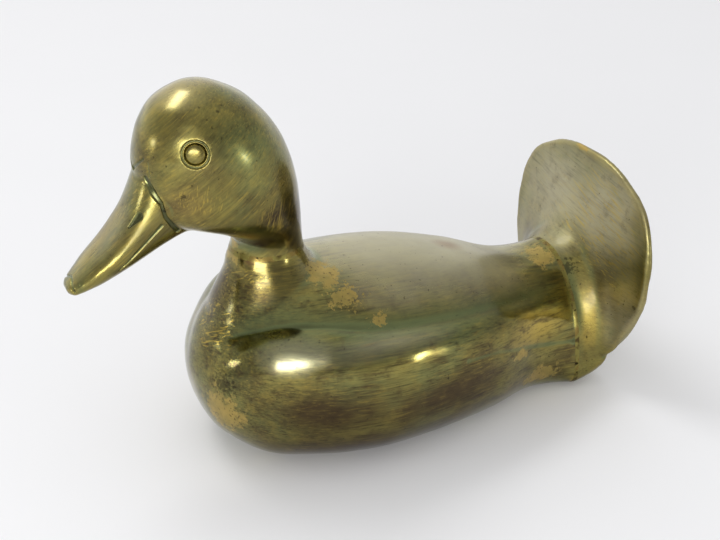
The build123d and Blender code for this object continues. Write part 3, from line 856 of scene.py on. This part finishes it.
TAIL_LOOK = {
    "brown": 0.4, "green": 0.3, "bands": 0.25, "stains": 0.3, "rubbed": 0.2, "dark_lines": 0.25,
    "valley": 0.0, "edges": 0.12, "gloss": 0.26, "relief": 0.35, "brush": (0.1, 0.0, -1.57),
    "scratches": ((0.3, 0.1, -1.5), [((-65, 10, 40), (8, 24, 22))]),
    "zones": [
        ("grey", 0.85, 0.8, 0.18, [
            ((-65, -10, 46), (8, 30, 20)), ((-65, 12, 46), (7, 22, 20)), ((-70, 0, 34), (4, 34, 34)),
        ]),
        ("grey", 0.5, 0.8, 0.12, both((-64, 26, 24), (6, 10, 16))),
        ("grey", 0.4, 0.7, 0.2, [((-57, 0, 36), (8, 10, 6))]),
        # Painted dark reflection of the rump in the concave fan.
        ("brown", 0.6, 0.9, 0.04, both((-60, 17, 26), (7, 9, 11))),
        # Painted glint at the root of the tail, on glossier metal.
        ("gold", 0.5, 0.7, -0.04, both((-57, 19.5, 18), (4, 6, 7))),
    ],
    "dulled": [],
    "flakes": [((-66, -3, 59.4), (3, 4, 0.8)), ((-68, -12, 30), (1.5, 5, 4))],
    "crumbs": FAR_AWAY,
    "smuts": [((-64.3, 28, 26.7), (0.7, 0.9, 0.9)), ((-56, 9, 31), (4, 3, 3))],
}


def braze_filler(name, finish):
    """Brazing filler run round a seam and filed flush: coppery, blotched by heat, with pinholes."""
    material, tree, place = fresh_material(name)
    blots = add(tree, "ShaderNodeTexNoise", {"Vector": place, "Scale": per(3.5), "Detail": 4})
    pores = add(tree, "ShaderNodeTexNoise", {"Vector": place, "Scale": per(1.7), "Detail": 2})
    pores = add(tree, "ShaderNodeMapRange", {0: pores, 1: 0.66, 2: 0.71})
    film = layered(tree, finish.olive, (
        (blots, 0.48, 0.38, 0.9, finish.braze),
        (blots, 0.52, 0.62, 0.85, finish.brown),
        (pores, 0, 1, 0.9, finish.grime_and_painted_dark),
    ))
    sheen = add(tree, "ShaderNodeMapRange", {0: blots, 1: 0.3, 2: 0.7, 3: 0.2, 4: 0.4})
    relief = add(tree, "ShaderNodeMath", {0: pores, 1: -1.0, 2: blots}, operation="MULTIPLY_ADD")
    bump = add(tree, "ShaderNodeBump", {"Height": relief, "Strength": 0.4, "Distance": 0.06 * MM})
    brass = add(tree, "ShaderNodeBsdfPrincipled", {
        "Base Color": film, "Roughness": sheen, "Normal": bump, "Metallic": 1.0,
    })
    add(tree, "ShaderNodeOutputMaterial", {"Surface": brass})
    return material


def rolled_brass(name, finish):
    """Plate cut from rolled sheet: paler than the castings, with fine straight rolling lines and scuffs."""
    material, tree, place = fresh_material(name)
    lines = drawn_out(tree, place, (0, 0, 0), (30, 0.5, 0.5), {"Detail": 3})
    scuffs = add(tree, "ShaderNodeTexNoise", {"Vector": place, "Scale": per(7), "Detail": 5})
    film = layered(tree, finish.plate, (
        (scuffs, 0.4, 0.65, 0.8, finish.brown),
        (lines, 0.5, 0.7, 0.4, finish.gold),
    ))
    sheen = add(tree, "ShaderNodeMapRange", {0: scuffs, 1: 0.3, 2: 0.7, 3: 0.3, 4: 0.5})
    bump = add(tree, "ShaderNodeBump", {"Height": lines, "Strength": 0.3, "Distance": 0.03 * MM})
    brass = add(tree, "ShaderNodeBsdfPrincipled", {
        "Base Color": film, "Roughness": sheen, "Normal": bump, "Metallic": 1.0,
    })
    add(tree, "ShaderNodeOutputMaterial", {"Surface": brass})
    return material


def paper(name, tint):
    """Matt white paper: even and pale, with a barely visible cloudiness."""
    material, tree, place = fresh_material(name)
    clouds = add(tree, "ShaderNodeTexNoise", {"Vector": place, "Scale": per(90), "Detail": 3})
    shade = layered(tree, tint, ((clouds, 0.3, 0.7, 0.04, (0.7, 0.7, 0.7)),))
    sheet = add(tree, "ShaderNodeBsdfPrincipled", {
        "Base Color": shade, "Roughness": 0.8, "Specular IOR Level": 0.2,
    })
    add(tree, "ShaderNodeOutputMaterial", {"Surface": sheet})
    return material


class BRASSDUCK_OT_castings(bpy.types.Operator):
    """Make body, head, tail fan and the two brazed seams"""

    bl_idname = "brassduck.castings"
    bl_label = "Castings and seams"

    def execute(self, context):
        finish = context.scene.brass_duck_finish
        skin = cast_skin(context.scene.brass_duck_castings)
        for height in NECK_SEAM:
            cut_seam(skin, (0, 0, height), (0, 0, 1), at_neck)
        for back in TAIL_SEAM:
            cut_seam(skin, (back, 0, 0), (1, 0, 0), at_tail)
        filler = braze_filler("braze_filler", finish)
        finishes = {
            "body_casting": (aged_brass("aged_brass_body", finish, BODY_LOOK), "aged_brass"),
            "head_casting": (aged_brass("aged_brass_head", finish, HEAD_LOOK), "aged_brass"),
            "tail_fan": (aged_brass("aged_brass_tail", finish, TAIL_LOOK), "aged_brass"),
            "neck_braze": (filler, "braze"),
            "tail_braze": (filler, "braze"),
        }
        for name, (material, slot) in finishes.items():
            piece = skin.copy()
            others = [face for face in piece.faces if piece_at(face.calc_center_median()) != name]
            bmesh.ops.delete(piece, geom=others, context="FACES")
            for face in piece.faces:
                face.smooth = True
            rim = [edge for edge in piece.edges if edge.is_boundary]
            for edge in rim:
                edge.smooth = False
            caps = bmesh.ops.holes_fill(piece, edges=rim, sides=0)["faces"]
            if not caps:
                raise RuntimeError(name + " has no closed cut")
            bmesh.ops.recalc_face_normals(piece, faces=piece.faces)
            shown(name, piece, material)
        skin.free()
        return {"FINISHED"}


class BRASSDUCK_OT_eyes(bpy.types.Operator):
    """Make the two round studs of the eyes"""

    bl_idname = "brassduck.eyes"
    bl_label = "Eyes"

    def execute(self, context):
        finish = context.scene.brass_duck_finish
        material = aged_brass("aged_brass_eyes", finish, {**HEAD_LOOK, "flakes": FAR_AWAY})
        for name, (point, axis) in EYES.items():
            stud = bmesh.new()
            lathe(stud, [(r * MM, h * MM) for r, h in STUD_OUTLINE], point, axis)
            bmesh.ops.recalc_face_normals(stud, faces=stud.faces)
            for face in stud.faces:
                face.smooth = True
            shown(name, stud, material)
        return {"FINISHED"}


class BRASSDUCK_OT_base_plate(bpy.types.Operator):
    """Give the plate under the body its finish"""

    bl_idname = "brassduck.base_plate"
    bl_label = "Base plate"

    def execute(self, context):
        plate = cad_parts["base_plate"]
        plate.data.materials.clear()
        plate.data.materials.append(rolled_brass("rolled_brass_plate", context.scene.brass_duck_finish))
        return {"FINISHED"}


def lay_floor(scene, tint):
    """Lays a wide sheet of paper under the duck."""
    ground = bmesh.new()
    bmesh.ops.create_grid(ground, x_segments=8, y_segments=8, size=3)
    mesh = bpy.data.meshes.new("paper_floor")
    ground.to_mesh(mesh)
    ground.free()
    mesh.materials.append(paper("white_paper", tint))
    floor = bpy.data.objects.new("paper_floor", mesh)
    scene.collection.objects.link(floor)


# Brightness of the room by height, from the horizon at 0 to overhead at 1, and where its side window lies.
ROOM_LEVELS = ((0.0, 0.9), (0.12, 0.9), (0.3, 0.7), (0.55, 0.72), (0.8, 0.88), (1.0, 0.95))
SIDE_WINDOW = (0.59, 0.76, 0.27)


def light_room(scene, brightness):
    """Makes a pale room: bright near the floor and overhead, and most of all on the wall behind the duck.

    It is dimmer before the duck, and has a soft glow round the side window.
    """
    world = bpy.data.worlds.new("pale_room")
    scene.world = world
    world.use_nodes = True
    tree = world.node_tree
    tree.nodes.clear()
    direction = add(tree, "ShaderNodeTexCoord", {}, "Generated")
    ramp = add(tree, "ShaderNodeValToRGB", {0: add(tree, "ShaderNodeSeparateXYZ", {0: direction}, "Z")})
    points = ramp.node.color_ramp.elements
    while len(points) < len(ROOM_LEVELS):
        points.new(0.5)
    for point, (position, level) in zip(points, ROOM_LEVELS):
        point.position = position
        point.color = (level, level, level, 1)
    behind = add(tree, "ShaderNodeSeparateXYZ", {0: direction}, "Y")
    wall = add(tree, "ShaderNodeMapRange", {0: behind, 1: -0.2, 2: -0.9, 4: 0.7})
    level = add(tree, "ShaderNodeMath", {0: ramp, 1: wall}, operation="ADD")
    front = add(tree, "ShaderNodeMapRange", {0: behind, 1: 0.2, 2: 0.9, 4: 0.17})
    level = add(tree, "ShaderNodeMath", {0: level, 1: front}, operation="SUBTRACT")
    side = add(
        tree, "ShaderNodeVectorMath", {0: direction, 1: SIDE_WINDOW}, "Value", operation="DOT_PRODUCT",
    )
    glow = add(tree, "ShaderNodeMapRange", {0: side, 1: 0.87, 2: 1.0, 4: 1.4})
    level = add(tree, "ShaderNodeMath", {0: level, 1: glow}, operation="ADD")
    dome = add(tree, "ShaderNodeBackground", {"Color": level, "Strength": brightness})
    add(tree, "ShaderNodeOutputWorld", {"Surface": dome})


def hang_lamps(scene, stage):
    """Hangs a large lamp above and behind, and low windows that give flank, breast and rump their glints."""
    aim = Vector((0, 0, 0.03))

    # Name, power, width and height, and place.
    lamps = (
        ("lamp_behind", stage.lamp_power, (0.5, 0.3), (0.32, -0.55, 1.02)),
        ("window_side", stage.window_power, (0.34, 0.13), (0.35, 0.46, 0.18)),
        ("window_front", 0.11 * stage.window_power, (0.08, 0.06), (0.58, -0.1, 0.14)),
        ("window_rear", 0.15 * stage.window_power, (0.06, 0.08), (-0.352, 0.485, 0.06)),
    )
    for name, power, (width, height), place in lamps:
        light = bpy.data.lights.new(name, "AREA")
        light.shape = "RECTANGLE"
        light.size = width
        light.size_y = height
        light.energy = power
        lamp = bpy.data.objects.new(name, light)
        scene.collection.objects.link(lamp)
        lamp.visible_camera = False
        lamp.location = place
        lamp.rotation_euler = (aim - Vector(place)).to_track_quat("-Z", "Y").to_euler()


def set_camera(scene, distance):
    """Sets the camera on the duck's left, a little to the front, looking down on the duck's middle."""
    lens = bpy.data.cameras.new("camera")
    lens.lens = 60
    lens.sensor_width = 36
    lens.clip_start = 0.01
    camera = bpy.data.objects.new("camera", lens)
    scene.collection.objects.link(camera)
    yaw, pitch = math.radians(25), math.radians(27)
    away = Vector((math.sin(yaw) * math.cos(pitch), math.cos(yaw) * math.cos(pitch), math.sin(pitch)))
    aim = Vector((0, 0, 38.5 * MM))
    camera.location = aim + distance * away
    camera.rotation_euler = (-away).to_track_quat("-Z", "Y").to_euler()
    scene.camera = camera
    scene.view_settings.view_transform = "Standard"


class BRASSDUCK_OT_stage(bpy.types.Operator):
    """Set the floor, the soft light and the camera"""

    bl_idname = "brassduck.stage"
    bl_label = "Stage"

    def execute(self, context):
        stage = context.scene.brass_duck_stage
        lay_floor(context.scene, stage.floor)
        light_room(context.scene, stage.dome)
        hang_lamps(context.scene, stage)
        set_camera(context.scene, stage.camera_distance)
        return {"FINISHED"}


class BRASSDUCK_PT_panel(bpy.types.Panel):
    """Sizes, colours and steps of the brass duck"""

    bl_idname = "BRASSDUCK_PT_panel"
    bl_label = "Brass Duck"
    bl_space_type = "VIEW_3D"
    bl_region_type = "UI"
    bl_category = "Brass Duck"

    def draw(self, context):
        scene = context.scene
        for group, operators in (
            (scene.brass_duck_castings, ("brassduck.castings", "brassduck.eyes", "brassduck.base_plate")),
            (scene.brass_duck_finish, ()),
            (scene.brass_duck_stage, ("brassduck.stage",)),
        ):
            box = self.layout.box()
            for name in group.bl_rna.properties.keys():
                if name not in ("rna_type", "name"):
                    box.prop(group, name)
            for operator in operators:
                box.operator(operator)


CLASSES = (
    BrassDuckCastingSettings,
    BrassDuckFinishSettings,
    BrassDuckStageSettings,
    BRASSDUCK_OT_castings,
    BRASSDUCK_OT_eyes,
    BRASSDUCK_OT_base_plate,
    BRASSDUCK_OT_stage,
    BRASSDUCK_PT_panel,
)


def register():
    for item in CLASSES:
        bpy.utils.register_class(item)
    bpy.types.Scene.brass_duck_castings = PointerProperty(type=BrassDuckCastingSettings)
    bpy.types.Scene.brass_duck_finish = PointerProperty(type=BrassDuckFinishSettings)
    bpy.types.Scene.brass_duck_stage = PointerProperty(type=BrassDuckStageSettings)


def unregister():
    del bpy.types.Scene.brass_duck_stage
    del bpy.types.Scene.brass_duck_finish
    del bpy.types.Scene.brass_duck_castings
    for item in reversed(CLASSES):
        bpy.utils.unregister_class(item)


def main():
    register()
    bpy.ops.brassduck.castings()
    bpy.ops.brassduck.eyes()
    bpy.ops.brassduck.base_plate()
    bpy.ops.brassduck.stage()


if __name__ == "__main__":
    main()
